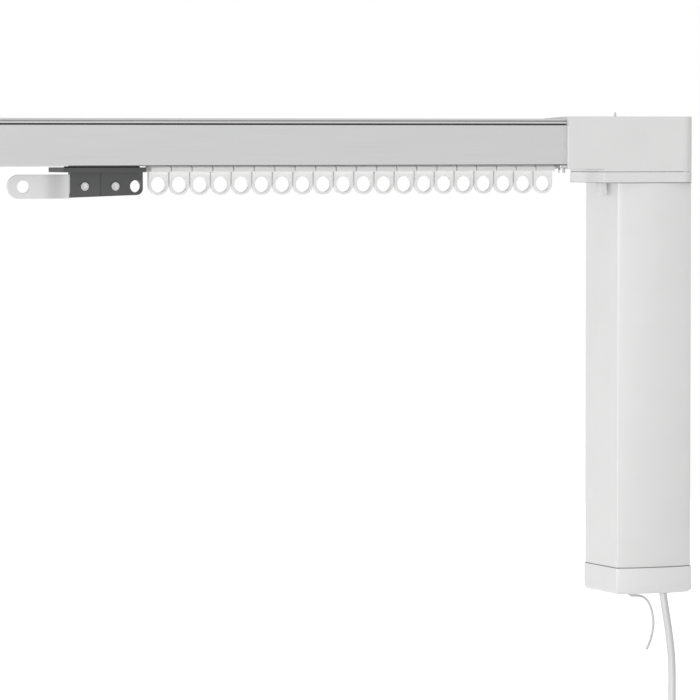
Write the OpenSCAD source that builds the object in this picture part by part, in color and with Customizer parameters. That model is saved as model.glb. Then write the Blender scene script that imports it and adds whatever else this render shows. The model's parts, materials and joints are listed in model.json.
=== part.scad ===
// Electric curtain track: a belt-driven ceiling rail with its motor hanging from the right-hand end.
// Millimetres. X runs along the rail towards the motor, Y away from the viewer, Z up.
// The origin is the middle of the rail's top face, which the ceiling clips press against.

/* [Rail] */
// Length of the aluminium rail
rail_length = 1000; // [960:20:1400]
// Width of the rail, front to back
rail_width = 48; // [47:0.5:50]
// Height of the rail
rail_height = 30; // [29.5:0.5:32]
// Wall thickness of the extrusion
rail_wall = 1.6; // [1.4:0.1:1.8]
// Width of the slot that the runners hang through
slot_width = 11; // [10.5:0.5:12]

/* [Runners] */
// Spacing of the runners when they are pushed together
runner_pitch = 14; // [13.8:0.1:15]
// Diameter of the eye that takes a curtain hook
eye_diameter = 10; // [8:0.5:10]
// Depth of an eye's centre under the rail
eye_drop = 11.8; // [11.3:0.1:13.3]

/* [Carrier] */
// Length of the carriage plate under the rail
carriage_length = 54.8; // [54:0.2:64]
// Depth of the hanging plates under the carriage plate
plate_drop = 15.9; // [15.7:0.1:19]
// How far the overlap arm reaches past the hanging plates
arm_reach = 43.4; // [40:0.2:55]
// How far the arm steps forward
arm_step = 7; // [5:0.5:8]

/* [Drive] */
// Teeth on each pulley
pulley_teeth = 16; // [15:1:16]
// Width of the belt
belt_width = 10; // [8:0.5:10]

/* [Drive head] */
// Length of the drive head along the rail
head_length = 91.6; // [90:0.2:96]
// How far the head's faces stand proud of the rail's sides
head_proud = 2.5; // [2:0.5:4]
// Length of the flange that the motor hangs from
flange_length = 66.2; // [64.6:0.2:68]
// Thickness of that flange
flange_height = 7.4; // [7.4:0.1:9]

/* [Motor] */
// Width of the motor's case
motor_width = 53; // [52:0.2:53.2]
// Depth of the motor's case, front to back
motor_depth = 52.8; // [51:0.2:53]
// How far the front of the case bulges
front_bulge = 3.4; // [2:0.2:6]
// Length of the motor's case
motor_length = 251; // [245:1:300]
// Height of the cap under the case
cap_height = 17.2; // [16:0.2:22]

/* [Cords] */
// Diameter of the mains lead
lead_diameter = 5; // [4.6:0.1:5.2]
// Diameter of the antenna wire
antenna_diameter = 1.6; // [1.4:0.1:1.8]

/* [Hidden] */

$fn = 48;
eps = 0.01;

// Colours of the materials
white_plastic = [0.93, 0.93, 0.92];
grey_plastic = [0.62, 0.63, 0.65];
dark_plastic = [0.24, 0.25, 0.27];
black_rubber = [0.09, 0.09, 0.1];
aluminium = [0.8, 0.81, 0.82];
steel = [0.7, 0.71, 0.73];
board_green = [0.1, 0.35, 0.2];

// Clearances: sliding faces, turning faces, shafts in holes, parts that drop into place, pressed seats
slide_gap = 0.5;
turn_gap = 0.3;
shaft_gap = 0.06;
fit_gap = 0.15;
seat_gap = 0.02;

// Rail section
rail_end = rail_length / 2;
rail_half = rail_width / 2;
rail_inside = rail_half - rail_wall;
slot_half = slot_width / 2;
lip_height = 3.1;
groove_height = 1.2;
groove_depth = 4;
groove_floor = rail_half - groove_depth;
groove_bottom = lip_height + groove_height;
line_z = [-2.1, -1.1];
line_floor = rail_half - 0.8;
edge_chamfer = 0.6;
ledge_thickness = 2;
ledge_z = ledge_thickness - rail_height;
floor_z = rail_wall - rail_height;
track_half = 10.2;
ridge_thickness = 1.2;
ridge_height = 3;
rib_y = 9;
rib_thickness = 1.2;
rib_drop = 7;

// Runners, counted from the carrier towards the motor
runner_count = 20;
runner_gap = 0.8;
runner_width = runner_pitch - runner_gap;
runner_park = runner_width / 2 + turn_gap;
runner_head_half = track_half - 1.6;
runner_head_height = 4;
runner_neck_half = slot_half - slide_gap;
runner_block_half = 6;
runner_block_height = 3.1;
runner_chamfer = 0.5;
runner_sole_z = ledge_z + turn_gap;
runner_top_z = runner_sole_z + runner_head_height;
block_top_z = -rail_height - 0.8;
block_z = block_top_z - runner_block_height;
eye_half = 1.5;
eye_z = -rail_height - eye_drop;

function runner_x(number) = rail_end - runner_park - (runner_count - number) * runner_pitch;

// Belt and pulleys
belt_pitch = 5;
pitch_radius = pulley_teeth * belt_pitch / (2 * PI);
belt_inside = pitch_radius - 0.48;
belt_outside = pitch_radius + 0.9;
tooth_height = 1.2;
tooth_root_half = 0.27 * belt_pitch;
tooth_tip_half = 0.18 * belt_pitch;
belt_top_z = -9;
belt_z = belt_top_z - belt_width;
arc_steps = 24;
pulley_tip = belt_inside - 0.35;
pulley_root = pulley_tip - 1.3;
pulley_rim = belt_outside + 1.7;
pulley_rim_height = 1.2;
pulley_top_z = belt_top_z + turn_gap + pulley_rim_height;
pulley_z = belt_z - turn_gap - pulley_rim_height;

// Drive head, with the rail butting against its left end
shell_wall = 2.2;
head_half = rail_half + head_proud;
head_top = 1.6;
roof_break = [-8.5, 1.1];
roof_back = -0.3;
roof_z = roof_back - 1.5;
head_corner = 9;
head_end = rail_end + head_length;
socket_z = -rail_height - 2.5;
socket_floor_z = socket_z + shell_wall;
flange_top_z = -rail_height - 4.1;
flange_z = flange_top_z - flange_height;
flange_start = head_end - flange_length;
seam_step = 0.5;
motor_inset = 1.9;
drive_x = head_end - motor_inset - motor_width / 2;
window_half = belt_outside + 3;
window_top_z = -4.5;
window_z = belt_z - 6;
spigot_length = 15;
spigot_in = belt_outside + 2.6;
spigot_out = rail_inside - fit_gap;
spigot_top_z = -groove_bottom - rail_wall - 1;
spigot_z = floor_z + 1;
pip_x = drive_x - 17.7;
pip_z = [0.5, 4.5];

// Bearings of the drive pulley: one under the roof, one in the flange
upper_bearing = 8;
upper_bearing_height = 4;
upper_hub = 4;
lower_bearing = 11;
lower_bearing_height = 4.5;
lower_bearing_z = flange_top_z - lower_bearing_height;
lower_hub = 6;
shaft_radius = 4;
shaft_hole = 8;
shaft_top_z = pulley_z + 6;
shaft_depth = 11;

// Bayonet ring on the motor's top plate, and the latch that locks it
ring_outside = 15;
ring_inside = 12.2;
ring_top_z = flange_z + 3.6;
latch_y = [-8, -1.8];
latch_tab_y = [-12, -5.8];
latch_gap = 0.4;
latch_slot_y = [latch_y[0] - latch_gap, latch_y[1] + latch_gap];
latch_start = flange_start + 3.8;
latch_tab = 4.8;
latch_drop = 8.3;
latch_travel = 2.4;
latch_slot_start = latch_start - latch_travel - latch_gap;
latch_end = drive_x - 12.9;
latch_z = [flange_z + 1.5, flange_z + 3.1];

// Motor case, with a front that is an arc between two sharp edges, and rounded corners at the back
motor_half = motor_width / 2;
depth_half = motor_depth / 2;
motor_corner = 1.2;
inner_corner = 0.4;
front_radius = (motor_half * motor_half + front_bulge * front_bulge) / (2 * front_bulge);
front_centre = front_radius - depth_half;
case_wall = 2;
case_ledge = 3;
case_z = flange_z - motor_length;
top_plate_z = flange_z - 4;
cap_grow = 0.6;
cap_chamfer = 1.8;
cap_z = case_z - cap_height;
cap_floor_z = cap_z + 2.4;
cap_spigot = 6;
cap_room_x = [drive_x - motor_half + case_wall, drive_x + motor_half - case_wall];
cap_wall = 4.2;
cap_cavity_x = [drive_x - motor_half + cap_wall, drive_x + motor_half - cap_wall];
cap_cavity_y = [-17.5, 21];
gearbox_radius = 19;
gearbox_z = top_plate_z - 58;
can_radius = 17.5;
can_z = gearbox_z - 78;
board_half = 18;
board_y = [12, 13.6];
board_z = [cap_floor_z + 12, cap_floor_z + 78];
board_post_x = 16;
board_post_half = 3;

// Where the cords leave the cap, measured from the motor's axis
gland_place = [drive_x + 18.4, 1];
gland_collar = 4.6;
gland_body = 3.8;
gland_height = 2.4;
bush_place = [drive_x - 2.6, 10];
bush_collar = 2.4;
bush_body = 1.7;
bush_height = 1.2;

// Route of the mains lead: across and back from the motor's axis, and height over the cap's underside
lead_route = [
    [18.4, 1, 0], [18.4, 1, -1.2], [18.65, 1, -3.5], [19.3, 1, -7.5], [20.6, 1, -15], [21.9, 1, -22.5],
    [23.1, 1, -30], [24.1, 1, -37], [24.8, 1, -44], [25.2, 1, -51], [25.4, 1, -58], [25.4, 1, -67],
    [25.4, 1, -77], [25.4, 1, -90], [25.4, 1, -102], [25.4, 1, -114]
];

// Route of the antenna wire, measured the same way
antenna_route = [
    [-2.6, 10, 0], [-2.6, 10, -1.4], [-2.3, 10, -2.6], [-1.5, 10, -3.7], [-0.4, 10, -4.3], [1, 10.2, -4.5],
    [3.2, 10.6, -4.6], [5.4, 11, -4.8], [8, 11.6, -5.4], [10.3, 12, -6.5], [12.4, 12, -8.4],
    [14.1, 12, -11.1], [15.6, 12, -14.8], [16.5, 12, -19], [17.1, 12.4, -23.2], [17, 12.8, -27.4],
    [16.2, 13, -31.6], [14.8, 13, -36], [12.6, 13.4, -41]
];

// Tied coil of the lead: three turns in, half a turn up to the back layer, two and a half turns out
lead_radius = lead_diameter / 2;
lead_last = lead_route[len(lead_route) - 1];
coil_step = lead_diameter + 1.2;
coil_inner = 20.8;
turns_in = 3;
turns_up = 0.5;
turns_out = 2.5;
coil_turns = turns_in + turns_up + turns_out;
coil_outer = coil_inner + turns_in * coil_step;
coil_exit = coil_inner + turns_out * coil_step;
rings_per_turn = 24;
coil_x = drive_x + lead_last[0] - coil_outer;
coil_y = lead_last[1];
coil_z = cap_z + lead_last[2] - lead_diameter;
tie_half = 2.5;
tie_thickness = 1.2;
tie_gap = 0.3;

function turn_radius(t) =
    t < turns_in ? coil_outer - coil_step * t
    : t < turns_in + turns_up ? coil_inner
    : coil_inner + coil_step * (t - turns_in - turns_up);
function turn_layer(t) = min(1, max(0, (t - turns_in) / turns_up));
function turn_point(t) = [
    coil_x + turn_radius(t) * cos(360 * t),
    coil_y + coil_step * turn_layer(t),
    coil_z - turn_radius(t) * sin(360 * t)
];

coil_wound = [for (i = [0:coil_turns * rings_per_turn]) turn_point(i / rings_per_turn)];
coil_path = concat(
    [coil_wound[0] + [0, 0, lead_diameter]],
    coil_wound,
    [coil_wound[len(coil_wound) - 1] - [0, 0, lead_diameter]]
);

// Least gap from the coil to itself, between points at least half a turn apart
coil_spread = [
    for (i = [0:len(coil_wound) - 1])
        for (j = [i + rings_per_turn / 2:1:len(coil_wound) - 1])
            norm(coil_wound[i] - coil_wound[j])
];
echo(least_gap_in_the_coil = min(coil_spread) - lead_diameter);

// Plug at the far end of the lead
plug_place = [coil_x + coil_exit, coil_y + coil_step];
plug_lead_top_z = coil_z - lead_diameter;
plug_lead_length = 34;
plug_top_z = plug_lead_top_z - plug_lead_length;
relief_length = 22;
relief_top = lead_radius + 0.8;
relief_foot = 5.5;
plug_body_z = [plug_top_z - relief_length - 26, plug_top_z - relief_length];
plug_half = 17.6;
plug_shoulder = 9;
plug_depth_half = 6.8;
pin_radius = 2;
pin_length = 19;
pin_offset = 9.3;

// Carrier
carriage_gap = 6.3;
carriage_end = runner_x(1) - runner_width / 2 - carriage_gap;
carriage_x = [carriage_end - carriage_length, carriage_end];
hanger_offset = 3;
carrier_x = carriage_end - carriage_length / 2 + hanger_offset;
carriage_half = 14.2;
carriage_top_z = -rail_height - 0.8;
carriage_z = carriage_top_z - 3;
neck_half = carriage_length / 2 - 4;
trolley_half = 6;
trolley_z = ledge_z + slide_gap;
trolley_top_z = belt_z - 1.4;
wheel_radius = 4.5;
wheel_in = trolley_half + 0.4;
wheel_out = track_half - 0.4;
wheel_z = ledge_z + turn_gap + wheel_radius;
axle_radius = 1.25;
axle_offset = 18;
plates_x = [carrier_x - 21.6, carrier_x + 26.5];
plates_half = 2.2;
plates_z = carriage_z - plate_drop;
plate_taper = 1.5;
plate_corner = 4;
plate_seam = carrier_x - 1.5;
seam_half = 0.3;
seam_depth = 0.5;
arm_half = 0.75;
arm_x = [plates_x[0] - arm_reach, carrier_x + 14];
arm_z = [carriage_z - 16.4, carriage_z - 1.4];
arm_tip = (arm_z[1] - arm_z[0]) / 2;
arm_mid_z = arm_z[0] + arm_tip;
tongue_z = plates_z + plate_taper + 1.2;
bend_x = [plates_x[0] - 21, plates_x[0] - 1.5];
bend_length = bend_x[1] - bend_x[0];
bend_steps = 12;
hook_hole = 3.9;
arm_hole_x = arm_x[0] + 10.4;
hook_hole_x = carrier_x + 21.9;
carrier_screw_x = [carrier_x - 12.6, carrier_x + 7.7];
carrier_screw = 1.5;
carrier_screw_head = 2.6;
carrier_screw_dome = 1.6;
recess_half = 0.4;
recess_depth = 0.9;
clamp_half = 11.5;
clamp_gap = 0.35;
clamp_wall = 2;
clamp_z = trolley_top_z - 1.6;

// Idler end, drawn at the motor end and mirrored to the left
idler_far = rail_end + 60;
idler_place = [rail_end + 30, 0];
idler_pin = 3;
idler_boss = 5;

// Fasteners
case_screw = 1.5;
case_screw_head = 2.7;
case_screw_dome = 1.8;
case_screw_length = 12;
case_boss = 3.8;
case_boss_inset = 5.6;
screw_sink = 2;
head_screw_places = [
    for (x = [flange_start + 6.6, head_end - 6.6])
        for (side = [-1, 1])
            [x, side * (head_half - case_boss_inset)]
];
idler_screw_places = [
    for (x = [rail_end + 9, idler_far - 7])
        for (side = [-1, 1])
            [x, side * (head_half - case_boss_inset)]
];
lock_place = [rail_end - 2.6, 3.2 - rail_half];
lock_plate_x = [rail_end - 5, rail_end + 5];
lock_plate_y = [lock_place[1] - 3, lock_place[1] + 4.4];
lock_plate_z = -rail_height - 1.8;
lock_screw = 1.2;
lock_screw_head = 2.2;
lock_screw_dome = 3.2;

// Boxes, posts and extrusions between stated limits

module box(x, y, z) {
    translate([x[0], y[0], z[0]])
        cube([x[1] - x[0], y[1] - y[0], z[1] - z[0]]);
}

module post(place, z, radius) {
    translate([place[0], place[1], z[0]])
        cylinder(h = z[1] - z[0], r = radius);
}

// The child is drawn in Y and Z
module along_x(x) {
    translate([x[0], 0, 0])
        rotate([90, 0, 90])
            linear_extrude(x[1] - x[0])
                children();
}

// The child is drawn in X and Z
module along_y(y) {
    translate([0, y[1], 0])
        rotate([90, 0, 0])
            linear_extrude(y[1] - y[0])
                children();
}

// The child is drawn in X and Y
module along_z(z) {
    translate([0, 0, z[0]])
        linear_extrude(z[1] - z[0])
            children();
}

// A rod along Y, through a place in X and Z
module rod(x, z, y, radius) {
    along_y(y)
        translate([x, z])
            circle(radius);
}

// Both halves of an outline that is the same on each side of its middle line
function mirrored(half) = concat(half, [for (i = [len(half) - 1:-1:0]) [-half[i][0], half[i][1]]]);

// A tube through a list of points, with flat ends. No stretch may run along Y.
function unit(v) = v / norm(v);
function heading(points, i) = unit(points[min(i + 1, len(points) - 1)] - points[max(i - 1, 0)]);
function tube_ring(centre, ahead, radius, sides) =
    let (across = unit(cross(ahead, [0, 1, 0])))
    let (over = cross(across, ahead))
    [
        for (k = [0:sides - 1])
            centre + radius * (cos(360 * k / sides) * across + sin(360 * k / sides) * over)
    ];

module tube(points, radius, sides) {
    last = len(points) - 1;
    corners = [
        for (i = [0:last])
            each tube_ring(points[i], heading(points, i), radius, sides)
    ];
    walls = [
        for (i = [0:last - 1])
            for (k = [0:sides - 1])
                let (next = (k + 1) % sides)
                [i * sides + k, (i + 1) * sides + k, (i + 1) * sides + next, i * sides + next]
    ];
    ends = [
        [for (k = [0:sides - 1]) k],
        [for (k = [sides - 1:-1:0]) last * sides + k]
    ];
    polyhedron(corners, concat(walls, ends));
}

// A cord's route, moved from the motor's axis and the cap's underside to its place
function placed(route) = [for (p = route) [drive_x + p[0], p[1], cap_z + p[2]]];

// The child stands at the motor end and is repeated, mirrored, at the idler end
module at_both_ends() {
    children();
    mirror([1, 0, 0])
        children();
}

// Rail

module rail_section() {
    polygon(mirrored([
        [rail_half, 0],
        [rail_half, line_z[1]],
        [line_floor, line_z[1]],
        [line_floor, line_z[0]],
        [rail_half, line_z[0]],
        [rail_half, -lip_height],
        [groove_floor, -lip_height],
        [groove_floor, -groove_bottom],
        [rail_half, -groove_bottom],
        [rail_half, edge_chamfer - rail_height],
        [rail_half - edge_chamfer, -rail_height],
        [slot_half, -rail_height],
        [slot_half, ledge_z],
        [track_half, ledge_z],
        [track_half, ledge_z + ridge_height],
        [track_half + ridge_thickness, ledge_z + ridge_height],
        [track_half + ridge_thickness, floor_z],
        [rail_inside, floor_z],
        [rail_inside, -groove_bottom - rail_wall],
        [groove_floor - rail_wall, -groove_bottom - rail_wall],
        [groove_floor - rail_wall, -rail_wall],
        [rib_y + rib_thickness, -rail_wall],
        [rib_y + rib_thickness, -rib_drop],
        [rib_y, -rib_drop],
        [rib_y, -rail_wall]
    ]));
}

module rail() {
    color(aluminium)
        difference() {
            along_x([-rail_end, rail_end])
                rail_section();
            at_both_ends()
                post(lock_place, [-rail_height - 1, floor_z + 1], lock_screw + shaft_gap);
        }
}

module rail_clamps() {
    color(steel)
        at_both_ends()
            difference() {
                box(lock_plate_x, lock_plate_y, [lock_plate_z, -rail_height]);
                post(lock_place, [lock_plate_z - 1, 1 - rail_height], lock_screw + shaft_gap);
            }
}

module rail_lock_screws() {
    color(steel)
        at_both_ends() {
            post(lock_place, [lock_plate_z - lock_screw_dome, lock_plate_z], lock_screw_head);
            post(lock_place, [lock_plate_z - eps, spigot_z], lock_screw);
        }
}

// Belt: teeth stand on its straight runs, and it lies plain round the two pulleys

function arc(x, radius, from) = [
    for (i = [0:arc_steps])
        let (angle = from + 180 * i / arc_steps)
        [x + radius * cos(angle), radius * sin(angle)]
];
function tooth(x, side, forward) = [
    [x - forward * tooth_root_half, side * belt_inside],
    [x - forward * tooth_tip_half, side * (belt_inside - tooth_height)],
    [x + forward * tooth_tip_half, side * (belt_inside - tooth_height)],
    [x + forward * tooth_root_half, side * belt_inside]
];

module drive_belt() {
    idler_x = -idler_place[0];
    first = idler_x + 15;
    teeth = floor((drive_x - 15 - first) / belt_pitch);
    outer = concat(arc(drive_x, belt_outside, -90), arc(idler_x, belt_outside, 90));
    inner = concat(
        [for (i = [0:teeth]) each tooth(first + i * belt_pitch, -1, 1)],
        arc(drive_x, belt_inside, -90),
        [for (i = [teeth:-1:0]) each tooth(first + i * belt_pitch, 1, -1)],
        arc(idler_x, belt_inside, 90)
    );
    color(black_rubber)
        along_z([belt_z, belt_top_z])
            polygon(
                concat(outer, inner),
                [
                    [for (i = [0:len(outer) - 1]) i],
                    [for (i = [0:len(inner) - 1]) len(outer) + i]
                ]
            );
}

// A toothed wheel with a rim over and under the belt
module toothed_wheel(place) {
    step = 360 / pulley_teeth;
    outline = [
        for (i = [0:pulley_teeth - 1])
            for (corner = [[-0.2, pulley_tip], [0.2, pulley_tip], [0.33, pulley_root], [0.67, pulley_root]])
                let (angle = step * (i + corner[0]))
                [corner[1] * cos(angle), corner[1] * sin(angle)]
    ];
    along_z([belt_z - turn_gap, belt_top_z + turn_gap])
        translate(place)
            polygon(outline);
    post(place, [pulley_top_z - pulley_rim_height, pulley_top_z], pulley_rim);
    post(place, [pulley_z, pulley_z + pulley_rim_height], pulley_rim);
}

// End housings

// Plan of an end housing: square where it meets the rail, rounded at the far end
module end_plan(start, end, half, corner) {
    translate([start, -half])
        square([end - start - corner, 2 * half]);
    translate([start, corner - half])
        square([end - start, 2 * (half - corner)]);
    for (side = [-1, 1])
        translate([end - corner, side * (half - corner)])
            circle(corner);
}

module end_cavity(start, end) {
    end_plan(start + shell_wall, end - shell_wall, head_half - shell_wall, head_corner - shell_wall);
}

// Space over an end housing, whose roof falls away from its front edge to its back edge
module over_the_roof() {
    front = -head_half - 1;
    back = head_half + 1;
    along_x([rail_end - 1, head_end + 1])
        polygon([
            [front, head_top],
            roof_break,
            [back, roof_back],
            [back, head_top + 2],
            [front, head_top + 2]
        ]);
}

// Opening in the end wall for the belt's two runs
module belt_window() {
    box([rail_end - 1, rail_end + shell_wall + 1], [-window_half, window_half], [window_z, window_top_z]);
}

// Slot in the end wall for the tail of the steel clamp
module clamp_slot() {
    box(
        [rail_end - 1, lock_plate_x[1] + fit_gap],
        [lock_plate_y[0] - fit_gap, lock_plate_y[1] + fit_gap],
        [lock_plate_z, -rail_height]
    );
}

// Two tongues that line the housing up inside the rail
module rail_spigots() {
    for (side = [0, 1])
        mirror([0, side, 0])
            box(
                [rail_end - spigot_length, rail_end + shell_wall],
                [spigot_in, spigot_out],
                [spigot_z, spigot_top_z]
            );
}

module screw_boss(place, foot_z) {
    difference() {
        post(place, [foot_z, roof_z + eps], case_boss);
        post(place, [foot_z - 1, foot_z + case_screw_length], case_screw + shaft_gap);
    }
}

module screw_hole(place, z) {
    post(place, [z[0] - 1, z[1] + 1], case_screw + shaft_gap);
}

module round_screw(place, seat_z) {
    post(place, [seat_z - case_screw_dome, seat_z], case_screw_head);
    post(place, [seat_z - eps, seat_z + case_screw_length], case_screw);
}

// The head's box, with a step under its left part that shows as a dark line over the flange
module head_housing() {
    color(white_plastic) {
        difference() {
            union() {
                along_z([flange_top_z, head_top + 1])
                    end_plan(flange_start, head_end, head_half, head_corner);
                box([rail_end, flange_start + 5], [-head_half, head_half], [socket_z, head_top + 1]);
            }
            over_the_roof();
            along_z([socket_floor_z, roof_z])
                end_cavity(rail_end, head_end);
            along_z([flange_top_z - 1, socket_floor_z + 1])
                end_cavity(flange_start, head_end);
            belt_window();
            clamp_slot();
            box(
                [flange_start - 1, flange_start + seam_step],
                [-head_half - 1, head_half + 1],
                [socket_z - seam_step, socket_z]
            );
        }
        for (place = head_screw_places)
            screw_boss(place, flange_top_z);
        difference() {
            post([drive_x, 0], [roof_z - upper_bearing_height, roof_z + eps], upper_bearing + 2.5);
            post([drive_x, 0], [roof_z - upper_bearing_height - 1, roof_z], upper_bearing + seat_gap);
        }
        rail_spigots();
        translate([pip_x, 0, pip_z[0]])
            cylinder(h = pip_z[1] - pip_z[0], r1 = 1.4, r2 = 0.3);
    }
}

// The flange, stepped in at its top so that a dark line shows between it and the housing
module head_flange() {
    color(white_plastic)
        difference() {
            union() {
                along_z([flange_z, flange_top_z - seam_step])
                    end_plan(flange_start, head_end, head_half, head_corner);
                along_z([flange_top_z - seam_step - eps, flange_top_z])
                    end_plan(
                        flange_start + seam_step,
                        head_end - seam_step,
                        head_half - seam_step,
                        head_corner - seam_step
                    );
            }
            post([drive_x, 0], [lower_bearing_z, flange_top_z + 1], lower_bearing + seat_gap);
            post([drive_x, 0], [flange_z - 1, flange_top_z], shaft_hole);
            difference() {
                post([drive_x, 0], [flange_z - 1, ring_top_z + fit_gap], ring_outside + turn_gap);
                post([drive_x, 0], [flange_z - 2, flange_top_z], ring_inside - turn_gap);
            }
            box(
                [latch_slot_start, latch_start + latch_tab + latch_gap],
                [latch_tab_y[0] - latch_gap, latch_tab_y[1] + latch_gap],
                [flange_z - 1, latch_z[1] + latch_gap]
            );
            box(
                [latch_slot_start, latch_end + latch_gap],
                latch_slot_y,
                [latch_z[0] - latch_gap, latch_z[1] + latch_gap]
            );
            for (place = head_screw_places) {
                screw_hole(place, [flange_z, flange_top_z]);
                post(place, [flange_z - 1, flange_z + screw_sink], case_screw_head + turn_gap);
            }
        }
}

module pulley_bearings() {
    color(steel) {
        difference() {
            post([drive_x, 0], [roof_z - upper_bearing_height, roof_z], upper_bearing);
            post([drive_x, 0], [roof_z - upper_bearing_height - 1, roof_z + 1], upper_hub + shaft_gap);
        }
        difference() {
            post([drive_x, 0], [lower_bearing_z, flange_top_z], lower_bearing);
            post([drive_x, 0], [lower_bearing_z - 1, flange_top_z + 1], lower_hub + shaft_gap);
        }
    }
}

module case_screws() {
    color(steel) {
        for (place = head_screw_places)
            round_screw(place, flange_z + screw_sink);
        mirror([1, 0, 0])
            for (place = idler_screw_places)
                round_screw(place, socket_z);
    }
}

module drive_pulley() {
    color(grey_plastic)
        difference() {
            union() {
                toothed_wheel([drive_x, 0]);
                post([drive_x, 0], [pulley_top_z - eps, roof_z - turn_gap], upper_hub);
                post([drive_x, 0], [lower_bearing_z, pulley_z + eps], lower_hub);
            }
            post([drive_x, 0], [lower_bearing_z - 1, shaft_top_z], shaft_radius + shaft_gap);
        }
}

module output_shaft() {
    color(steel)
        post([drive_x, 0], [top_plate_z - shaft_depth, shaft_top_z], shaft_radius);
}

module release_latch() {
    color(white_plastic) {
        box([latch_start, latch_end], latch_y, latch_z);
        box([latch_start, latch_start + latch_tab], latch_tab_y, [flange_z - latch_drop, latch_z[1]]);
    }
}

module idler_housing() {
    color(white_plastic)
        mirror([1, 0, 0]) {
            difference() {
                along_z([socket_floor_z, head_top + 1])
                    end_plan(rail_end, idler_far, head_half, head_corner);
                over_the_roof();
                along_z([socket_floor_z - 1, roof_z])
                    end_cavity(rail_end, idler_far);
                belt_window();
                clamp_slot();
            }
            for (place = idler_screw_places)
                screw_boss(place, socket_floor_z);
            difference() {
                post(idler_place, [pulley_top_z + turn_gap, roof_z + eps], idler_boss);
                post(idler_place, [pulley_top_z, roof_z], idler_pin + seat_gap);
            }
            rail_spigots();
        }
}

module idler_cover() {
    color(white_plastic)
        mirror([1, 0, 0]) {
            difference() {
                along_z([socket_z, socket_floor_z])
                    end_plan(rail_end, idler_far, head_half, head_corner);
                clamp_slot();
                for (place = idler_screw_places)
                    screw_hole(place, [socket_z, socket_floor_z]);
            }
            difference() {
                post(idler_place, [socket_floor_z - eps, pulley_z - turn_gap], idler_boss);
                post(idler_place, [socket_floor_z, pulley_z], idler_pin + seat_gap);
            }
        }
}

module idler_axle() {
    color(steel)
        mirror([1, 0, 0])
            post(idler_place, [socket_floor_z, roof_z], idler_pin);
}

module idler_pulley() {
    color(grey_plastic)
        mirror([1, 0, 0])
            difference() {
                toothed_wheel(idler_place);
                post(idler_place, [pulley_z - 1, pulley_top_z + 1], idler_pin + shaft_gap);
            }
}

// Motor

// Plan of the motor's case, drawn in or out by a wall's thickness
module case_plan(inset) {
    half = motor_half - inset;
    back = depth_half - inset;
    corner = max(motor_corner - inset, inner_corner);
    translate([drive_x, 0])
        intersection() {
            union() {
                translate([-half, -motor_depth])
                    square([2 * half, motor_depth + back - corner]);
                translate([corner - half, 0])
                    square([2 * (half - corner), back]);
                for (side = [-1, 1])
                    translate([side * (half - corner), back - corner])
                        circle(corner);
            }
            translate([0, front_centre])
                circle(front_radius - inset, $fn = 96);
        }
}

module motor_shell() {
    color(white_plastic)
        difference() {
            along_z([case_z, flange_z])
                case_plan(0);
            along_z([top_plate_z, flange_z + 1])
                case_plan(case_wall);
            along_z([case_z - 1, top_plate_z + eps])
                case_plan(case_ledge);
        }
}

module motor_top_plate() {
    color(grey_plastic)
        difference() {
            union() {
                along_z([top_plate_z, flange_z])
                    case_plan(case_wall + seat_gap);
                difference() {
                    post([drive_x, 0], [flange_z - eps, ring_top_z], ring_outside);
                    post([drive_x, 0], [flange_z - 1, ring_top_z + 1], ring_inside);
                }
            }
            post([drive_x, 0], [top_plate_z - 1, flange_z + 1], shaft_hole);
            box(
                [drive_x - ring_outside - 1, drive_x - 9],
                latch_slot_y,
                [latch_z[0] - latch_gap, ring_top_z + 1]
            );
        }
}

// The cap's outside, with a chamfer all round its foot: a wedge across it, a wedge to the back and a cone
// about the centre of its front arc
module cap_outside() {
    spread = cap_height + 2;
    foot_z = cap_z - 1;
    half = motor_half + cap_grow - cap_chamfer - 1;
    back = depth_half + cap_grow - cap_chamfer - 1;
    radius = front_radius + cap_grow - cap_chamfer - 1;
    intersection() {
        along_z([cap_z, case_z])
            case_plan(-cap_grow);
        along_y([-motor_depth, motor_depth])
            translate([drive_x, foot_z])
                polygon(mirrored([[half, 0], [half + spread, spread]]));
        along_x([drive_x - motor_width, drive_x + motor_width])
            translate([0, foot_z])
                polygon([[-motor_depth, 0], [back, 0], [back + spread, spread], [-motor_depth, spread]]);
        translate([drive_x, front_centre, foot_z])
            cylinder(h = spread, r1 = radius, r2 = radius + spread, $fn = 96);
    }
}

module motor_end_cap() {
    color(white_plastic) {
        difference() {
            union() {
                cap_outside();
                along_z([case_z - eps, case_z + cap_spigot])
                    case_plan(case_ledge + seat_gap);
            }
            box(cap_room_x, cap_cavity_y, [cap_floor_z, case_z - case_wall]);
            box(cap_cavity_x, cap_cavity_y, [cap_floor_z, case_z + cap_spigot + 1]);
            post(gland_place, [cap_z - 1, cap_floor_z + 1], gland_body + seat_gap);
            post(bush_place, [cap_z - 1, cap_floor_z + 1], bush_body + seat_gap);
        }
        for (side = [-1, 1])
            board_post(drive_x + side * board_post_x);
    }
}

// A post that grips the lower edge of the control board
module board_post(x) {
    difference() {
        box(
            [x - board_post_half, x + board_post_half],
            [board_y[0] - board_post_half, board_y[1] + board_post_half],
            [cap_floor_z - eps, board_z[0] + 6]
        );
        box([x - 20, x + 20], board_y, [board_z[0], board_z[1]]);
    }
}

module gearbox_casing() {
    color(grey_plastic)
        difference() {
            post([drive_x, 0], [gearbox_z, top_plate_z], gearbox_radius);
            post(
                [drive_x, 0],
                [top_plate_z - shaft_depth - turn_gap, top_plate_z + 1],
                shaft_radius + shaft_gap
            );
        }
}

module motor_can() {
    color(steel) {
        post([drive_x, 0], [can_z, gearbox_z], can_radius);
        post([drive_x, 0], [can_z - 4, can_z + eps], can_radius / 2);
        for (side = [-1, 1])
            box(
                [drive_x + side * 12 - 2, drive_x + side * 12 + 2],
                [-0.4, 0.4],
                [can_z - 7, can_z + eps]
            );
    }
}

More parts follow.
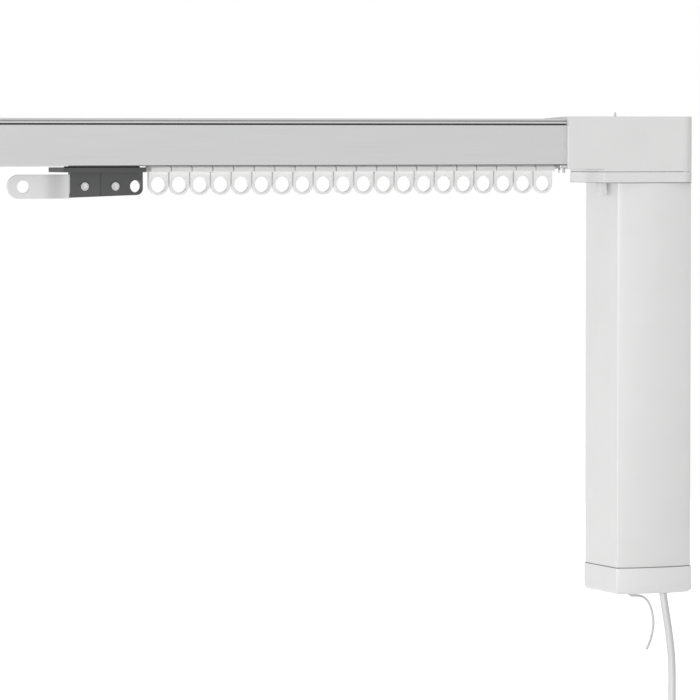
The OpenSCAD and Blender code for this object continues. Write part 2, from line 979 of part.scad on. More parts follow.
module control_board() {
    front = board_y[0] + eps;
    back = board_y[1] - eps;
    color(board_green) {
        box([drive_x - board_half, drive_x + board_half], board_y, board_z);
        box([drive_x - 15, drive_x + 3], [board_y[0] - 15, front], [board_z[0] + 24, board_z[0] + 44]);
        box([drive_x + 6, drive_x + 16], [board_y[0] - 11, front], [board_z[0] + 8, board_z[0] + 20]);
        box([drive_x - 12, drive_x + 4], [board_y[0] - 8, front], [board_z[1] - 12, board_z[1] - 2]);
        box([drive_x - 8, drive_x + 8], [back, board_y[1] + 3], [board_z[0] + 30, board_z[0] + 54]);
        for (foot = [board_z[0] + 24, board_z[0] + 42])
            post([drive_x + 11, board_y[0] - 5 + eps], [foot, foot + 12], 5);
    }
}

module lead_gland() {
    color(grey_plastic)
        difference() {
            union() {
                post(gland_place, [cap_z - gland_height, cap_z], gland_collar);
                post(gland_place, [cap_z - eps, cap_floor_z + eps], gland_body);
                post(gland_place, [cap_floor_z, cap_floor_z + gland_height], gland_collar);
            }
            post(gland_place, [cap_z - gland_height - 1, cap_z], lead_radius + fit_gap);
        }
}

module antenna_bush() {
    color(black_rubber)
        difference() {
            union() {
                post(bush_place, [cap_z - bush_height, cap_z], bush_collar);
                post(bush_place, [cap_z - eps, cap_floor_z + eps], bush_body);
                post(bush_place, [cap_floor_z, cap_floor_z + bush_height], bush_collar);
            }
            post(bush_place, [cap_z - bush_height - 1, cap_z], antenna_diameter / 2 + fit_gap);
        }
}

// Cords

module mains_lead() {
    color(grey_plastic)
        tube(placed(lead_route), lead_radius, 10);
}

module lead_coil() {
    color(grey_plastic)
        tube(coil_path, lead_radius, 6);
}

module coil_tie() {
    reach = lead_radius + tie_gap;
    x = [coil_x - coil_outer + coil_step / 2 - reach, coil_x - coil_inner + reach];
    y = [coil_y - reach, coil_y + coil_step + reach];
    z = [coil_z - tie_half, coil_z + tie_half];
    color(black_rubber)
        difference() {
            box(
                [x[0] - tie_thickness, x[1] + tie_thickness],
                [y[0] - tie_thickness, y[1] + tie_thickness],
                z
            );
            box(x, y, [z[0] - 1, z[1] + 1]);
        }
}

module plug_lead() {
    steps = 3;
    route = [
        for (i = [0:steps])
            [plug_place[0], plug_place[1], plug_lead_top_z - plug_lead_length * i / steps]
    ];
    color(grey_plastic)
        tube(route, lead_radius, 10);
}

module plug_body() {
    middle = (plug_body_z[0] + plug_body_z[1]) / 2;
    color(grey_plastic)
        translate([plug_place[0], plug_place[1], 0]) {
            translate([0, 0, plug_body_z[1] - eps])
                cylinder(h = relief_length + eps, r1 = relief_foot, r2 = relief_top);
            along_y([-plug_depth_half, plug_depth_half])
                polygon(mirrored([
                    [plug_shoulder, plug_body_z[1]],
                    [plug_half, middle],
                    [plug_half, plug_body_z[0]]
                ]));
        }
}

module plug_pins() {
    color(steel)
        for (side = [-1, 1])
            post(
                [plug_place[0] + side * pin_offset, plug_place[1]],
                [plug_body_z[0] - pin_length, plug_body_z[0]],
                pin_radius
            );
}

module antenna_wire() {
    color(grey_plastic)
        tube(placed(antenna_route), antenna_diameter / 2, 8);
}

// Carrier

module carrier_body() {
    color(dark_plastic)
        difference() {
            union() {
                box(carriage_x, [-carriage_half, carriage_half], [carriage_z, carriage_top_z]);
                box(
                    [carrier_x - neck_half, carrier_x + neck_half],
                    [-runner_neck_half, runner_neck_half],
                    [carriage_top_z - eps, trolley_z + eps]
                );
                box(
                    [carrier_x - neck_half, carrier_x + neck_half],
                    [-trolley_half, trolley_half],
                    [trolley_z, trolley_top_z]
                );
            }
            for (side = [-1, 1])
                rod(
                    carrier_x + side * axle_offset,
                    wheel_z,
                    [-trolley_half - 1, trolley_half + 1],
                    axle_radius + shaft_gap
                );
        }
}

module wheelset(x) {
    color(grey_plastic) {
        rod(x, wheel_z, [-wheel_out, wheel_out], axle_radius);
        rod(x, wheel_z, [-wheel_out, -wheel_in], wheel_radius);
        rod(x, wheel_z, [wheel_in, wheel_out], wheel_radius);
    }
}

module wheelset_left() {
    wheelset(carrier_x - axle_offset);
}

module wheelset_right() {
    wheelset(carrier_x + axle_offset);
}

// Outline of the hanging plates: a tapered foot with one rounded corner
module plate_outline() {
    corner_step = 15;
    corner_x = plates_x[1] - plate_corner;
    foot_z = plates_z + plate_taper;
    rounding = [
        for (angle = [0:-corner_step:-90])
            [corner_x + plate_corner * cos(angle), foot_z + plate_corner * (1 + sin(angle))]
    ];
    polygon(concat(
        [[plates_x[0], plates_z], [plates_x[0], carriage_z], [plates_x[1], carriage_z]],
        rounding
    ));
}

// Holes through the plates for the two screws and for a curtain hook
module plate_holes() {
    for (x = carrier_screw_x)
        rod(x, arm_mid_z, [-plates_half - 1, plates_half + 1], carrier_screw + shaft_gap);
    rod(hook_hole_x, arm_mid_z, [-plates_half - 1, plates_half + 1], hook_hole);
}

module carrier_front_plate() {
    color(dark_plastic)
        difference() {
            along_y([-plates_half, -arm_half])
                plate_outline();
            plate_holes();
            box(
                [plate_seam - seam_half, plate_seam + seam_half],
                [-plates_half - 1, seam_depth - plates_half],
                [plates_z - 1, carriage_z + 1]
            );
        }
}

module carrier_rear_plate() {
    color(dark_plastic)
        difference() {
            along_y([-arm_half, plates_half])
                plate_outline();
            plate_holes();
            box(
                [plates_x[0] - 1, arm_x[1] + fit_gap],
                [-arm_half - 1, arm_half],
                [tongue_z - fit_gap, arm_z[1] + fit_gap]
            );
        }
}

module carrier_screws() {
    head = -plates_half - carrier_screw_dome;
    color(steel)
        for (x = carrier_screw_x)
            difference() {
                union() {
                    rod(x, arm_mid_z, [head, -plates_half], carrier_screw_head);
                    rod(x, arm_mid_z, [-plates_half - eps, plates_half], carrier_screw);
                }
                for (turn = [[carrier_screw, recess_half], [recess_half, carrier_screw]])
                    box(
                        [x - turn[0], x + turn[0]],
                        [head - 1, head + recess_depth],
                        [arm_mid_z - turn[1], arm_mid_z + turn[1]]
                    );
            }
}

// A point on one face of the arm's soft S-shaped bend, from its step at 0 to the plates at 1
function bend_point(along, face) =
    let (slope = arm_step * PI / (2 * bend_length) * sin(180 * along))
    [
        bend_x[0] + along * bend_length,
        -arm_step * (1 + cos(180 * along)) / 2 + face * arm_half * sqrt(1 + slope * slope)
    ];

module overlap_arm() {
    front = [for (i = [0:bend_steps]) bend_point(i / bend_steps, -1)];
    back = [for (i = [bend_steps:-1:0]) bend_point(i / bend_steps, 1)];
    color(white_plastic)
        difference() {
            intersection() {
                along_z(arm_z)
                    polygon(concat(
                        [[arm_x[0], -arm_step - arm_half]],
                        front,
                        [[arm_x[1], -arm_half], [arm_x[1], arm_half]],
                        back,
                        [[arm_x[0], arm_half - arm_step]]
                    ));
                along_y([-2 * arm_step, 2 * arm_step]) {
                    translate([arm_x[0] + arm_tip, arm_z[0]])
                        square([arm_x[1] - arm_x[0], 2 * arm_tip]);
                    translate([arm_x[0] + arm_tip, arm_mid_z])
                        circle(arm_tip);
                }
            }
            box(
                [plates_x[0] - fit_gap, arm_x[1] + 1],
                [-arm_step, arm_step],
                [arm_z[0] - 1, tongue_z]
            );
            rod(arm_hole_x, arm_mid_z, [-2 * arm_step, arm_step], hook_hole);
            plate_holes();
        }
}

module belt_clamp() {
    outer = belt_outside + clamp_gap;
    inner = belt_inside - tooth_height - clamp_gap;
    jaw_z = belt_top_z - 1;
    base_z = belt_z - clamp_gap;
    color(dark_plastic)
        along_x([carrier_x - clamp_half, carrier_x + clamp_half])
            polygon([
                [-outer - clamp_wall, clamp_z],
                [-outer - clamp_wall, jaw_z],
                [-outer, jaw_z],
                [-outer, base_z],
                [-inner, base_z],
                [-inner, jaw_z],
                [clamp_wall - inner, jaw_z],
                [clamp_wall - inner, base_z],
                [trolley_half, base_z],
                [trolley_half, trolley_top_z],
                [-trolley_half, trolley_top_z],
                [-trolley_half, clamp_z]
            ]);
}

// Runners

module runner(number) {
    x = runner_x(number);
    edge = runner_chamfer;
    color(white_plastic) {
        along_x([x - runner_width / 2, x + runner_width / 2])
            polygon(mirrored([
                [runner_head_half - edge, runner_top_z],
                [runner_head_half, runner_top_z - edge],
                [runner_head_half, runner_sole_z],
                [runner_neck_half, runner_sole_z],
                [runner_neck_half, block_top_z],
                [runner_block_half, block_top_z],
                [runner_block_half, block_z + edge],
                [runner_block_half - edge, block_z]
            ]));
        difference() {
            along_y([-eye_half, eye_half]) {
                translate([x - runner_width / 2, eye_z])
                    square([runner_width, block_z + eps - eye_z]);
                translate([x, eye_z])
                    circle(runner_width / 2);
            }
            rod(x, eye_z, [-eye_half - 1, eye_half + 1], eye_diameter / 2);
        }
    }
}

rail();
drive_belt();
rail_clamps();
rail_lock_screws();
idler_housing();
idler_cover();
idler_axle();
idler_pulley();
head_housing();
head_flange();
pulley_bearings();
case_screws();
drive_pulley();
output_shaft();
release_latch();
motor_shell();
motor_top_plate();
motor_end_cap();
gearbox_casing();
motor_can();
control_board();
lead_gland();
antenna_bush();
mains_lead();
lead_coil();
coil_tie();
plug_lead();
plug_body();
plug_pins();
antenna_wire();
carrier_body();
carrier_front_plate();
carrier_rear_plate();
carrier_screws();
overlap_arm();
belt_clamp();
wheelset_left();
wheelset_right();
runner(1);  // runner_01
runner(2);  // runner_02
runner(3);  // runner_03
runner(4);  // runner_04
runner(5);  // runner_05
runner(6);  // runner_06
runner(7);  // runner_07
runner(8);  // runner_08
runner(9);  // runner_09
runner(10);  // runner_10
runner(11);  // runner_11
runner(12);  // runner_12
runner(13);  // runner_13
runner(14);  // runner_14
runner(15);  // runner_15
runner(16);  // runner_16
runner(17);  // runner_17
runner(18);  // runner_18
runner(19);  // runner_19
runner(20);  // runner_20
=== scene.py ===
# %% [markdown]
# # Dressing an electric curtain track
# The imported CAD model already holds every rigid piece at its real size: the rail, the drive head, the
# motor, the carrier and twenty runners. This lesson adds what CAD leaves out: the camera, the cords, the
# finishes and the light. Everything is in metres, in the CAD model's own frame, so nothing has to be
# fitted by eye.

import json
import math

import bpy
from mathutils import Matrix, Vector


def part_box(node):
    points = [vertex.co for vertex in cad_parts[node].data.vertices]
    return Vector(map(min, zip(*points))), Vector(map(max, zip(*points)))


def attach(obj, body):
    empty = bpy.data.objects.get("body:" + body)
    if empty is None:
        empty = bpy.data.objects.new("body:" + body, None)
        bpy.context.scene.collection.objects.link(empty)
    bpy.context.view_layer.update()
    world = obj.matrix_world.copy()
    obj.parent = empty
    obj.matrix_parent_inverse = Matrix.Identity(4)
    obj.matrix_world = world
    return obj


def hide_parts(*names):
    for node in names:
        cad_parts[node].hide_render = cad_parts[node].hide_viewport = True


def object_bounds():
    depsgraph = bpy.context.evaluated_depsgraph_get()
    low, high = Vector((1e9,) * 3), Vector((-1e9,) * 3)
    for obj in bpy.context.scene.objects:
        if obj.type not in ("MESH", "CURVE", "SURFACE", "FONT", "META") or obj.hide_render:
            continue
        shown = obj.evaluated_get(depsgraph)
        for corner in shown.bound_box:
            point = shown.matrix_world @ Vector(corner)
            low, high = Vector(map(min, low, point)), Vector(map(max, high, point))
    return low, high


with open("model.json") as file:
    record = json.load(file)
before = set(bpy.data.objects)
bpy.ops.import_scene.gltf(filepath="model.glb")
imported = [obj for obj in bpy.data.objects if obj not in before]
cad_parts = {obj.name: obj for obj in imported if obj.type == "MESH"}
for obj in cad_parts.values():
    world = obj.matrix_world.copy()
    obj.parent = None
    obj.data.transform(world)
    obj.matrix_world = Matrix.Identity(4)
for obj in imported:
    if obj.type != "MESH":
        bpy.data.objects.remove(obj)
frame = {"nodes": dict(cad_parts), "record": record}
nodes = frame["nodes"]
record = frame["record"]
scene = bpy.context.scene
cad_low, cad_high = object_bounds()
print("CAD nodes:", len(nodes))
print("CAD box:", [round(value, 4) for value in (*cad_low, *cad_high)])

# %% [markdown]
# ## The camera
# The picture was taken with a long lens, from the left and a little above the motor's middle, so the
# rail's ends differ little in height. A camera can be placed by eye, but here its place was worked out
# from the known sizes: the row of eyes, the rail's end and the corners of the motor all have to land where
# the photograph has them. The focal length in pixels turns into millimetres on Blender's 36 mm sensor.

# %% Place the camera
IMAGE_PIXELS = 700
FOCAL_PIXELS = 4863.5
SENSOR_MM = 36
CAMERA_PLACE = (-0.8304, -2.8767, -0.0122)
CAMERA_TURN = 22.445
CAMERA_TILT = -2.5
CLIP_END = 100

camera_data = bpy.data.cameras.new("photo_camera")
camera_data.sensor_width = SENSOR_MM
camera_data.lens = FOCAL_PIXELS * SENSOR_MM / IMAGE_PIXELS
camera_data.clip_end = CLIP_END
camera = bpy.data.objects.new("photo_camera", camera_data)
camera.location = CAMERA_PLACE
camera.rotation_euler = (math.radians(90 + CAMERA_TILT), 0, -math.radians(CAMERA_TURN))
scene.collection.objects.link(camera)
scene.camera = camera
print("lens:", round(camera_data.lens, 1), "mm")

# %% [markdown]
# ## The mains lead
# The lead comes straight out of the gland under the motor, leans a little and hangs. Only its first
# stretch is in the picture, so the rest is wound into a tied coil below it. The coil's turns run in, step
# back to a second layer behind the first, and run out again to the plug.

# %% Route of the mains lead
# Radius of the lead, step from turn to turn, and radius of the innermost turn
LEAD_RADIUS = 0.0025
LEAD_STEP = 0.0062
COIL_INNER = 0.0208

# Turns of the front layer, of the step back and of the back layer
TURNS_IN = 3
TURNS_BACK = 0.5
TURNS_OUT = 2.5
POINTS_PER_TURN = 24

# The straight end that goes down into the plug
PLUG_LEAD = 0.034
PLUG_STEPS = 4

# Across and back from the motor's axis, and height over the cap's underside
LEAD_ROUTE = [
    (0.0184, 0.001, 0), (0.0184, 0.001, -0.0012), (0.01865, 0.001, -0.0035),
    (0.0193, 0.001, -0.0075), (0.0206, 0.001, -0.015), (0.0219, 0.001, -0.0225),
    (0.0231, 0.001, -0.030), (0.0241, 0.001, -0.037), (0.0248, 0.001, -0.044),
    (0.0252, 0.001, -0.051), (0.0254, 0.001, -0.058), (0.0254, 0.001, -0.067),
    (0.0254, 0.001, -0.077), (0.0254, 0.001, -0.090), (0.0254, 0.001, -0.102),
    (0.0254, 0.001, -0.114),
]

cap_low, cap_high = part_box("motor_end_cap")
motor_axis = Vector(((cap_low.x + cap_high.x) / 2, 0, cap_low.z))
hanging = [motor_axis + Vector(point) for point in LEAD_ROUTE]

coil_outer = COIL_INNER + TURNS_IN * LEAD_STEP
coil_turns = TURNS_IN + TURNS_BACK + TURNS_OUT
coil_centre = hanging[-1] + Vector((-coil_outer, 0, -2 * LEAD_RADIUS))


def coil_point(turn):
    """A point of the coil, a number of turns after its start."""
    if turn < TURNS_IN:
        radius = coil_outer - LEAD_STEP * turn
    elif turn < TURNS_IN + TURNS_BACK:
        radius = COIL_INNER
    else:
        radius = COIL_INNER + LEAD_STEP * (turn - TURNS_IN - TURNS_BACK)
    layer = min(1, max(0, (turn - TURNS_IN) / TURNS_BACK))
    angle = math.tau * turn
    across = radius * math.cos(angle)
    down = radius * math.sin(angle)
    return coil_centre + Vector((across, LEAD_STEP * layer, -down))


coil_steps = int(coil_turns * POINTS_PER_TURN)
coil = [coil_point(i / POINTS_PER_TURN) for i in range(coil_steps + 1)]
to_plug = [
    coil[-1] - Vector((0, 0, 2 * LEAD_RADIUS + PLUG_LEAD * i / PLUG_STEPS))
    for i in range(PLUG_STEPS + 1)
]
lead_points = hanging + coil + to_plug


def line_length(points):
    """The length of a line through the points."""
    return sum((b - a).length for a, b in zip(points, points[1:]))


print("lead:", round(line_length(lead_points), 3), "m in", len(lead_points), "points")

# %% [markdown]
# ## A cord from a curve
# A mesh tube would do for the lead, but a Bezier curve with a round bevel is lighter and stays smooth: its
# handles are automatic, so it runs through every point. The thickness is given as each knot's radius, on a
# bevel of depth 1, because Blender pads a curve's bounding box by that radius, which is 1 m if it is left
# alone.

# %% Make the lead as a curve
STEPS_PER_KNOT = 6
ROUND_STEPS = 5


def cord_curve(name, points, radius):
    """An open Bezier curve through the points, thickened to a round cord."""
    data = bpy.data.curves.new(name, "CURVE")
    data.dimensions = "3D"
    data.resolution_u = STEPS_PER_KNOT
    data.bevel_depth = 1
    data.bevel_resolution = ROUND_STEPS
    data.use_fill_caps = True
    spline = data.splines.new("BEZIER")
    spline.bezier_points.add(len(points) - 1)
    for knot, point in zip(spline.bezier_points, points):
        knot.co = point
        knot.radius = radius
        knot.handle_left_type = "AUTO"
        knot.handle_right_type = "AUTO"
    cord = bpy.data.objects.new(name, data)
    scene.collection.objects.link(cord)
    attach(cord, "track")
    return cord


lead = cord_curve("hanging_lead", lead_points, LEAD_RADIUS)
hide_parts("mains_lead", "lead_coil", "plug_lead")
print("made", lead.name)

# %% [markdown]
# ## The antenna wire
# A thin wire comes out of a small bush beside the lead, turns level under the cap and droops in a soft
# hook. It is limp and light, so it keeps the set it was packed with. It is the same kind of curve as the
# lead.

# %% Antenna wire
ANTENNA_RADIUS = 0.0008
ANTENNA_ROUTE = [
    (-0.0026, 0.010, 0), (-0.0026, 0.010, -0.0014), (-0.0023, 0.010, -0.0026),
    (-0.0015, 0.010, -0.0037), (-0.0004, 0.010, -0.0043), (0.001, 0.0102, -0.0045),
    (0.0032, 0.0106, -0.0046), (0.0054, 0.011, -0.0048), (0.008, 0.0116, -0.0054),
    (0.0103, 0.012, -0.0065), (0.0124, 0.012, -0.0084), (0.0141, 0.012, -0.0111),
    (0.0156, 0.012, -0.0148), (0.0165, 0.012, -0.019), (0.0171, 0.0124, -0.0232),
    (0.017, 0.0128, -0.0274), (0.0162, 0.013, -0.0316), (0.0148, 0.013, -0.036),
    (0.0126, 0.0134, -0.041),
]

antenna_points = [motor_axis + Vector(point) for point in ANTENNA_ROUTE]
antenna = cord_curve("antenna_whisker", antenna_points, ANTENNA_RADIUS)
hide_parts("antenna_wire")
print("antenna:", round(line_length(antenna_points), 3), "m")

# %% [markdown]
# ## How a finish is made
# Every finish starts from one Principled shader. What is the same all over, such as how metallic it is, is
# set on the shader itself. What varies, such as a faint change of shade, comes from a noise texture in
# object coordinates, which are metres here, so a noise scale of 1000 gives grains of about a millimetre.

# %% Start a finish
COAT_ROUGHNESS = 0.25
finishes = {}


def start_finish(slot, metallic=0.0, coat=0.0):
    """A new material with one Principled shader, kept under its record slot's name."""
    material = bpy.data.materials.new(slot)
    material.use_nodes = True
    shader = material.node_tree.nodes["Principled BSDF"]
    shader.inputs["Metallic"].default_value = metallic
    shader.inputs["Coat Weight"].default_value = coat
    shader.inputs["Coat Roughness"].default_value = COAT_ROUGHNESS
    finishes[slot] = material
    return material.node_tree, shader


def noise(tree, scale, stretch=(1, 1, 1), detail=3):
    """Noise in object coordinates, which a stretch below 1 draws out along that axis."""
    place = tree.nodes.new("ShaderNodeTexCoord")
    mapping = tree.nodes.new("ShaderNodeMapping")
    mapping.inputs["Scale"].default_value = stretch
    texture = tree.nodes.new("ShaderNodeTexNoise")
    texture.inputs["Scale"].default_value = scale
    texture.inputs["Detail"].default_value = detail
    tree.links.new(place.outputs["Object"], mapping.inputs["Vector"])
    tree.links.new(mapping.outputs["Vector"], texture.inputs["Vector"])
    return texture.outputs["Fac"]


print("slots to fill:", len({part["material_slot"] for part in record["subparts"]}))

# %% [markdown]
# ## How a finish varies
# Three small helpers let the noise act on the shader: one on its colour, one on its roughness and one on
# its relief. The colour goes through a ramp, so that it stays between two near shades. The relief goes
# through a Bump node, which is enough for a grain of a few hundredths of a millimetre: as a mesh it would
# take millions of faces.

# %% Let a finish vary
RAMP_ENDS = (0.3, 0.7)


def spread(tree, value, low, high):
    """Maps 0 and 1 to a low and a high value."""
    remap = tree.nodes.new("ShaderNodeMapRange")
    remap.inputs["To Min"].default_value = low
    remap.inputs["To Max"].default_value = high
    tree.links.new(value, remap.inputs["Value"])
    return remap.outputs["Result"]


def vary_colour(tree, shader, factor, dark, light):
    """Lets the base colour drift between two near shades."""
    ramp = tree.nodes.new("ShaderNodeValToRGB")
    for stop, position, shade in zip(ramp.color_ramp.elements, RAMP_ENDS, (dark, light)):
        stop.position = position
        stop.color = (*shade, 1)
    tree.links.new(factor, ramp.inputs["Fac"])
    tree.links.new(ramp.outputs["Color"], shader.inputs["Base Color"])


def vary_roughness(tree, shader, factor, low, high):
    """Lets the roughness drift between two values."""
    tree.links.new(spread(tree, factor, low, high), shader.inputs["Roughness"])


def add_bump(tree, shader, factor, height, strength):
    """A fine relief, with its height in metres."""
    bump = tree.nodes.new("ShaderNodeBump")
    bump.inputs["Distance"].default_value = height
    bump.inputs["Strength"].default_value = strength
    tree.links.new(factor, bump.inputs["Height"])
    tree.links.new(bump.outputs["Normal"], shader.inputs["Normal"])


print("noise is read between", *RAMP_ENDS)

# %% [markdown]
# ## Moulded plastics
# The housings, the runners and the dark carrier are injection mouldings. A mould is spark-eroded to a fine
# satin, so the surface has a grain of a few tenths of a millimetre and its gloss drifts a little where the
# plastic flowed. One function serves all of them, with its own shade, gloss and grain for each.

# %% Plastics
PLASTIC_IOR = 1.49
FLOW_SCALE = 35
FLOW_DETAIL = 2
GLOSS_SCALE = 220
GRAIN_STRENGTH = 0.25
FINE_GRAIN = 0.00003
COARSE_GRAIN = 0.00005
RUBBER_GRAIN = 0.00008


def moulded_plastic(slot, dark, light, roughness, grain, depth=FINE_GRAIN):
    """A satin moulding between two shades, with a range of roughness and a grain's scale and depth."""
    tree, shader = start_finish(slot)
    shader.inputs["IOR"].default_value = PLASTIC_IOR
    vary_colour(tree, shader, noise(tree, FLOW_SCALE, detail=FLOW_DETAIL), dark, light)
    vary_roughness(tree, shader, noise(tree, GLOSS_SCALE), *roughness)
    add_bump(tree, shader, noise(tree, grain), depth, GRAIN_STRENGTH)


moulded_plastic("white_case", (0.745, 0.745, 0.742), (0.765, 0.765, 0.762), (0.27, 0.35), 2600)
# the runners' white is partly their own pale plastic and partly painted light against the rail's shade over
# them
moulded_plastic("runner_plastic", (0.855, 0.855, 0.85), (0.88, 0.88, 0.875), (0.34, 0.46), 2200)
moulded_plastic("grey_plastic", (0.34, 0.345, 0.35), (0.37, 0.375, 0.38), (0.40, 0.52), 2200)
moulded_plastic(
    "dark_plastic", (0.072, 0.073, 0.075), (0.090, 0.091, 0.093), (0.42, 0.55), 1800, COARSE_GRAIN
)
moulded_plastic(
    "black_plastic", (0.012, 0.012, 0.013), (0.018, 0.018, 0.019), (0.45, 0.6), 1800, COARSE_GRAIN
)
moulded_plastic("lead_pvc", (0.61, 0.61, 0.615), (0.67, 0.67, 0.675), (0.30, 0.42), 1500)
moulded_plastic("antenna_pvc", (0.56, 0.56, 0.565), (0.62, 0.62, 0.625), (0.35, 0.5), 1500)
moulded_plastic(
    "belt_rubber", (0.010, 0.010, 0.011), (0.018, 0.018, 0.019), (0.62, 0.8), 1200, RUBBER_GRAIN
)
moulded_plastic("board_green", (0.012, 0.09, 0.04), (0.02, 0.12, 0.055), (0.3, 0.45), 900)
print("plastics:", sorted(finishes))

# %% [markdown]
# ## A finish that asks where it is
# Some finishes change from place to place on one piece. A second material would need the mesh split, so
# the finish asks each point where it lies: the object coordinates give its place, Math nodes turn that
# into a factor from 0 to 1, and a Mix node lays another shade over the first by that factor.

# %% Shade by place
def object_axes(tree):
    """Each point's place, as sockets named X, Y and Z."""
    place = tree.nodes.new("ShaderNodeTexCoord")
    axes = tree.nodes.new("ShaderNodeSeparateXYZ")
    tree.links.new(place.outputs["Object"], axes.inputs[0])
    return axes.outputs


def calculate(tree, operation, *values):
    """A Math node whose inputs are sockets or plain numbers."""
    step = tree.nodes.new("ShaderNodeMath")
    step.operation = operation
    for socket, value in zip(step.inputs, values):
        if isinstance(value, bpy.types.NodeSocket):
            tree.links.new(value, socket)
        else:
            socket.default_value = value
    return step.outputs[0]


def lay_over(tree, shader, factor, shade):
    """Lays a shade over the base colour by a factor."""
    mix = tree.nodes.new("ShaderNodeMix")
    mix.data_type = "RGBA"
    mix.inputs["B"].default_value = (*shade, 1)
    tree.links.new(factor, mix.inputs["Factor"])
    tree.links.new(shader.inputs["Base Color"].links[0].from_socket, mix.inputs["A"])
    tree.links.new(mix.outputs["Result"], shader.inputs["Base Color"])


print("plain finishes so far:", len(finishes))

# %% [markdown]
# ## Painted shade and light at the seams
# The case meets the flange above it and the cap below it in a gap of a few tenths of a millimetre, which
# shows as a thin dark line of shade. So fine a gap is awkward to light as a mesh, because a lamp's few
# samples miss it, so a painted shadow makes the white finish darker in a narrow band at each end of the
# case. Between the head and its flange the CAD model has a stepped groove, which shows darker than the
# real joint, so painted light makes the walls of that groove paler.

# %% Paint shade and light at the seams
SEAM_HALF = 0.0003
SEAM_PAINTED_SHADOW = (0.36, 0.36, 0.36)
STEP_HEIGHT = 0.0005
STEP_PAINTED_LIGHT = (0.97, 0.97, 0.97)


def paint_light_and_shade_band(slot, height, shade):
    """Paints light and shade into a finish, as another colour in a narrow band at one height."""
    tree = finishes[slot].node_tree
    near = calculate(tree, "COMPARE", object_axes(tree)["Z"], height, SEAM_HALF)
    lay_over(tree, tree.nodes["Principled BSDF"], near, shade)


case_low, case_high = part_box("motor_shell")
flange_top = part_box("head_flange")[1].z
step_middle = flange_top - STEP_HEIGHT / 2
# painted shadow: the white is darker in a narrow band at each end of the case
paint_light_and_shade_band("white_case", case_low.z, SEAM_PAINTED_SHADOW)
paint_light_and_shade_band("white_case", case_high.z, SEAM_PAINTED_SHADOW)
# painted light: the walls of the step between head and flange are paler, against the shade in it
paint_light_and_shade_band("white_case", step_middle, STEP_PAINTED_LIGHT)
print("seams at", [round(height, 4) for height in (case_low.z, case_high.z, step_middle)])

# %% [markdown]
# ## The aluminium rail
# The rail is an aluminium extrusion, anodised to a satin. Drawing it through its die leaves faint lines
# along its length, which a noise stretched along X gives. Its grooves and its channel get painted shade,
# darker the deeper in, and so does its foot over the parked runners, where a shadow line falls.

# %% Drawn aluminium
ALONG_THE_RAIL = (0.01, 1, 1)
LINE_SCALE = 1500
LINE_DETAIL = 4
LINE_HEIGHT = 0.00002
SATIN_SHADES = ((0.545, 0.545, 0.547), (0.575, 0.575, 0.577))
SATIN_ROUGHNESS = (0.36, 0.46)
SATIN_SCALE = 300
RAIL_PAINTED_SHADE = (0.11, 0.11, 0.112)
RELIEF_STRENGTH = 0.2

# Depth in a groove where the painted shade starts, and where it is full
GROOVE_SKIN = 0.0002
FULL_SHADE_DEPTH = 0.0013
TOP_SKIN = 0.0002
FOOT_CHAMFER = 0.0006

rail_low, rail_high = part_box("rail")
carrier_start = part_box("carrier_body")[0].x


def painted_shade_places(tree):
    """Painted shade: 0 on the outer faces, up to 1 deep in the grooves, 1 on the foot over the parked
    runners.
    """
    axes = object_axes(tree)
    depth = tree.nodes.new("ShaderNodeMapRange")
    depth.inputs["From Min"].default_value = rail_high.y - GROOVE_SKIN
    depth.inputs["From Max"].default_value = rail_high.y - FULL_SHADE_DEPTH
    tree.links.new(calculate(tree, "ABSOLUTE", axes["Y"]), depth.inputs["Value"])
    under_top = calculate(tree, "LESS_THAN", axes["Z"], rail_high.z - TOP_SKIN)
    grooves = calculate(tree, "MULTIPLY", depth.outputs["Result"], under_top)
    at_foot = calculate(tree, "LESS_THAN", axes["Z"], rail_low.z + FOOT_CHAMFER)
    over_runners = calculate(tree, "GREATER_THAN", axes["X"], carrier_start)
    shaded_foot = calculate(tree, "MULTIPLY", at_foot, over_runners)
    return calculate(tree, "MAXIMUM", grooves, shaded_foot)


def drawn_aluminium(slot):
    """Satin aluminium with lines along X, and painted shade in the grooves and along the foot."""
    tree, shader = start_finish(slot, metallic=1.0)
    lines = noise(tree, LINE_SCALE, stretch=ALONG_THE_RAIL, detail=LINE_DETAIL)
    gloss = noise(tree, SATIN_SCALE, stretch=ALONG_THE_RAIL)
    vary_colour(tree, shader, lines, *SATIN_SHADES)
    # painted shade: darker in the grooves and along the foot over the parked runners
    lay_over(tree, shader, painted_shade_places(tree), RAIL_PAINTED_SHADE)
    vary_roughness(tree, shader, gloss, *SATIN_ROUGHNESS)
    add_bump(tree, shader, lines, LINE_HEIGHT, RELIEF_STRENGTH)


drawn_aluminium("rail_aluminium")
print("rail box:", [round(value, 4) for value in (*rail_low, *rail_high)])

# %% [markdown]
# ## Plated screws and the painted arm
# The screws and clamps are zinc plated and the plug's pins are brass. Both tarnish a little, so their shade
# clouds over a couple of millimetres. The arm is powder coated: powder melts into a coat with an orange
# peel, a soft relief about a millimetre across, under a thin gloss.

# %% Plated metal and paint
CLOUD_SCALE = 500
PIT_SCALE = 3000
PIT_DEPTH = 0.00002
PAINT_COAT = 0.2
PAINT_SCALE = 60
PAINT_GLOSS_SCALE = 300
PAINT_ROUGHNESS = (0.32, 0.42)
PEEL_SCALE = 900
PEEL_DEPTH = 0.00006


def plated_metal(slot, dark, light, roughness):
    """Bright metal whose shade and gloss cloud together."""
    tree, shader = start_finish(slot, metallic=1.0)
    clouds = noise(tree, CLOUD_SCALE)
    vary_colour(tree, shader, clouds, dark, light)
    vary_roughness(tree, shader, clouds, *roughness)
    add_bump(tree, shader, noise(tree, PIT_SCALE), PIT_DEPTH, RELIEF_STRENGTH)


